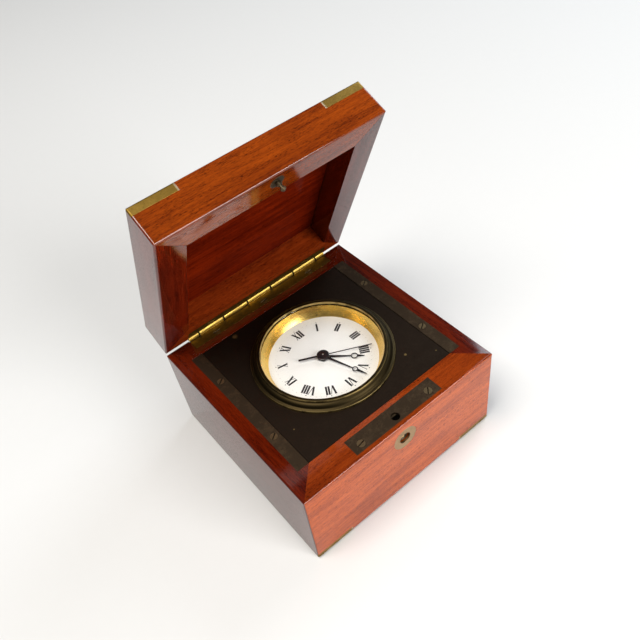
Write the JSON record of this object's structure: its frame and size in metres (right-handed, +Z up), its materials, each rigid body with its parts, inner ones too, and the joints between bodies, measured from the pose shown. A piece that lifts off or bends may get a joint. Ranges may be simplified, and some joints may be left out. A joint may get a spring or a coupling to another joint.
{
  "type": "marine chronometer",
  "caption": "Boxed deck clock: a mitred hardwood case with a hinged lid and brass corners, a flush bronzed deck and a turned bezel over a white dial with hands.",
  "frame": {"origin": "middle of the flat felt face that the case stands on", "axes": "+Z up out of the dial, -Y towards the front with the lock, +Y towards the hinge, X along the hinge"},
  "size_m": [0.13, 0.1466, 0.1855],
  "materials": {
    "case_wood": "polished reddish hardwood with open pores",
    "lid_wood": "polished reddish hardwood with open pores",
    "inner_wood": "plain planed hardwood",
    "felt": "green felt",
    "strap_brass": "satin brass, lightly tarnished",
    "hinge_brass": "brass, polished on the barrel",
    "button_brass": "polished brass",
    "dark_brass": "brass with a dark mottled patina",
    "steel": "plain steel",
    "deck_bronze": "brass plate with a black-brown bronzed finish",
    "bezel_bronze": "turned brass with a dark olive bronzed finish",
    "bowl_brass": "turned and polished brass",
    "crystal_glass": "clear flat glass",
    "dial_white": "silvery white enamel",
    "hand_black": "black lacquered",
    "wheel_brass": "plain brass",
    "wheel_plastic": "white moulded plastic",
    "magnet": "dark sintered magnet",
    "coil_copper": "varnished copper winding",
    "board_green": "printed circuit board",
    "cell_steel": "plated steel can",
    "movement_plastic": "black moulded plastic"
  },
  "bodies": {
    "case": {"base_front_wall": "case_wood", "base_back_wall": "case_wood", "base_left_wall": "case_wood", "base_right_wall": "case_wood", "base_floor": "inner_wood", "base_felt": "felt", "deck_ledges": "inner_wood", "base_straps_front": "strap_brass", "base_straps_back": "strap_brass", "hinge_base_leaf": "hinge_brass", "hinge_pin": "steel", "hinge_base_screws": "dark_brass", "lock_plate": "dark_brass", "lock_plate_screws": "dark_brass", "lock_body": "steel", "catch_spring": "steel", "escutcheon": "strap_brass", "deck_plate": "deck_bronze", "deck_bar_left": "dark_brass", "deck_bar_right": "dark_brass", "deck_bar_screws": "dark_brass", "bowl": "bowl_brass", "bowl_cap": "bowl_brass", "bezel": "bezel_bronze", "crystal": "crystal_glass", "reflector_ring": "bowl_brass", "dial": "dial_white", "dial_nut": "steel", "stator": "steel", "coil": "coil_copper", "circuit_board": "board_green", "battery": "cell_steel", "battery_contacts": "bowl_brass", "movement_case": "movement_plastic", "movement_cover": "movement_plastic", "movement_screws": "steel"},
    "lid": {"lid_front_rail": "lid_wood", "lid_back_rail": "lid_wood", "lid_left_rail": "lid_wood", "lid_right_rail": "lid_wood", "lid_top_panel": "lid_wood", "lid_straps_front": "strap_brass", "lid_straps_back": "strap_brass", "lid_stud": "dark_brass", "hinge_lid_leaf": "hinge_brass", "hinge_lid_screws": "dark_brass"},
    "button": {"push_button": "button_brass"},
    "catch": {"lock_catch": "dark_brass"},
    "seconds": {"seconds_wheel": "wheel_brass", "seconds_hand": "hand_black"},
    "minutes": {"minute_wheel": "wheel_brass", "minute_hand": "hand_black"},
    "hours": {"hour_wheel": "wheel_brass", "hour_hand": "hand_black"},
    "motion": {"motion_wheel": "wheel_plastic"},
    "third": {"third_wheel": "wheel_plastic"},
    "intermediate": {"intermediate_wheel": "wheel_plastic"},
    "rotor": {"rotor": "magnet"},
    "setting": {"setting_knob": "wheel_plastic"}
  },
  "joints": [
    {"name": "lid_hinge", "type": "hinge", "parent": "case", "child": "lid", "pos_m": [0, 0.0644, 0.0606], "axis": [-1, 0, 0], "range_deg": [-65.3, 34.7]},
    {"name": "button_press", "type": "slide", "parent": "case", "child": "button", "axis": [0, 1, 0], "range_m": [0, 0.0012], "stiffness_N_per_m": 400, "springref_m": -0.001},
    {"name": "catch_slide", "type": "slide", "parent": "case", "child": "catch", "axis": [0, 1, 0], "range_m": [0, 0.0012]},
    {"name": "seconds_spin", "type": "hinge", "parent": "case", "child": "seconds", "pos_m": [0, 0.0011, 0.05], "axis": [0, 0, -1], "continuous": true},
    {"name": "minute_spin", "type": "hinge", "parent": "case", "child": "minutes", "pos_m": [0, 0.0011, 0.05], "axis": [0, 0, -1], "continuous": true},
    {"name": "hour_spin", "type": "hinge", "parent": "case", "child": "hours", "pos_m": [0, 0.0011, 0.05], "axis": [0, 0, -1], "continuous": true},
    {"name": "third_spin", "type": "hinge", "parent": "case", "child": "third", "pos_m": [-0.00799, -0.00181, 0.05], "axis": [0, 0, -1], "continuous": true},
    {"name": "motion_spin", "type": "hinge", "parent": "case", "child": "motion", "pos_m": [0.004, 0.00803, 0.05], "axis": [0, 0, -1], "continuous": true},
    {"name": "intermediate_spin", "type": "hinge", "parent": "case", "child": "intermediate", "pos_m": [0.0042, -0.00617, 0.05], "axis": [0, 0, -1], "continuous": true},
    {"name": "rotor_spin", "type": "hinge", "parent": "case", "child": "rotor", "pos_m": [0.01044, -0.00977, 0.05], "axis": [0, 0, -1], "continuous": true},
    {"name": "setting_spin", "type": "hinge", "parent": "case", "child": "setting", "pos_m": [0.01179, 0.01253, 0.05], "axis": [0, 0, -1], "continuous": true}
  ],
  "couplings": [
    {"joint": "catch_slide", "follows": "button_press", "ratio": 1},
    {"joint": "third_spin", "follows": "seconds_spin", "ratio": -0.13333},
    {"joint": "minute_spin", "follows": "seconds_spin", "ratio": 0.016667},
    {"joint": "motion_spin", "follows": "seconds_spin", "ratio": -0.0055556},
    {"joint": "hour_spin", "follows": "seconds_spin", "ratio": 0.0013889},
    {"joint": "setting_spin", "follows": "seconds_spin", "ratio": 0.011111},
    {"joint": "intermediate_spin", "follows": "seconds_spin", "ratio": -6},
    {"joint": "rotor_spin", "follows": "seconds_spin", "ratio": 30}
  ]
}
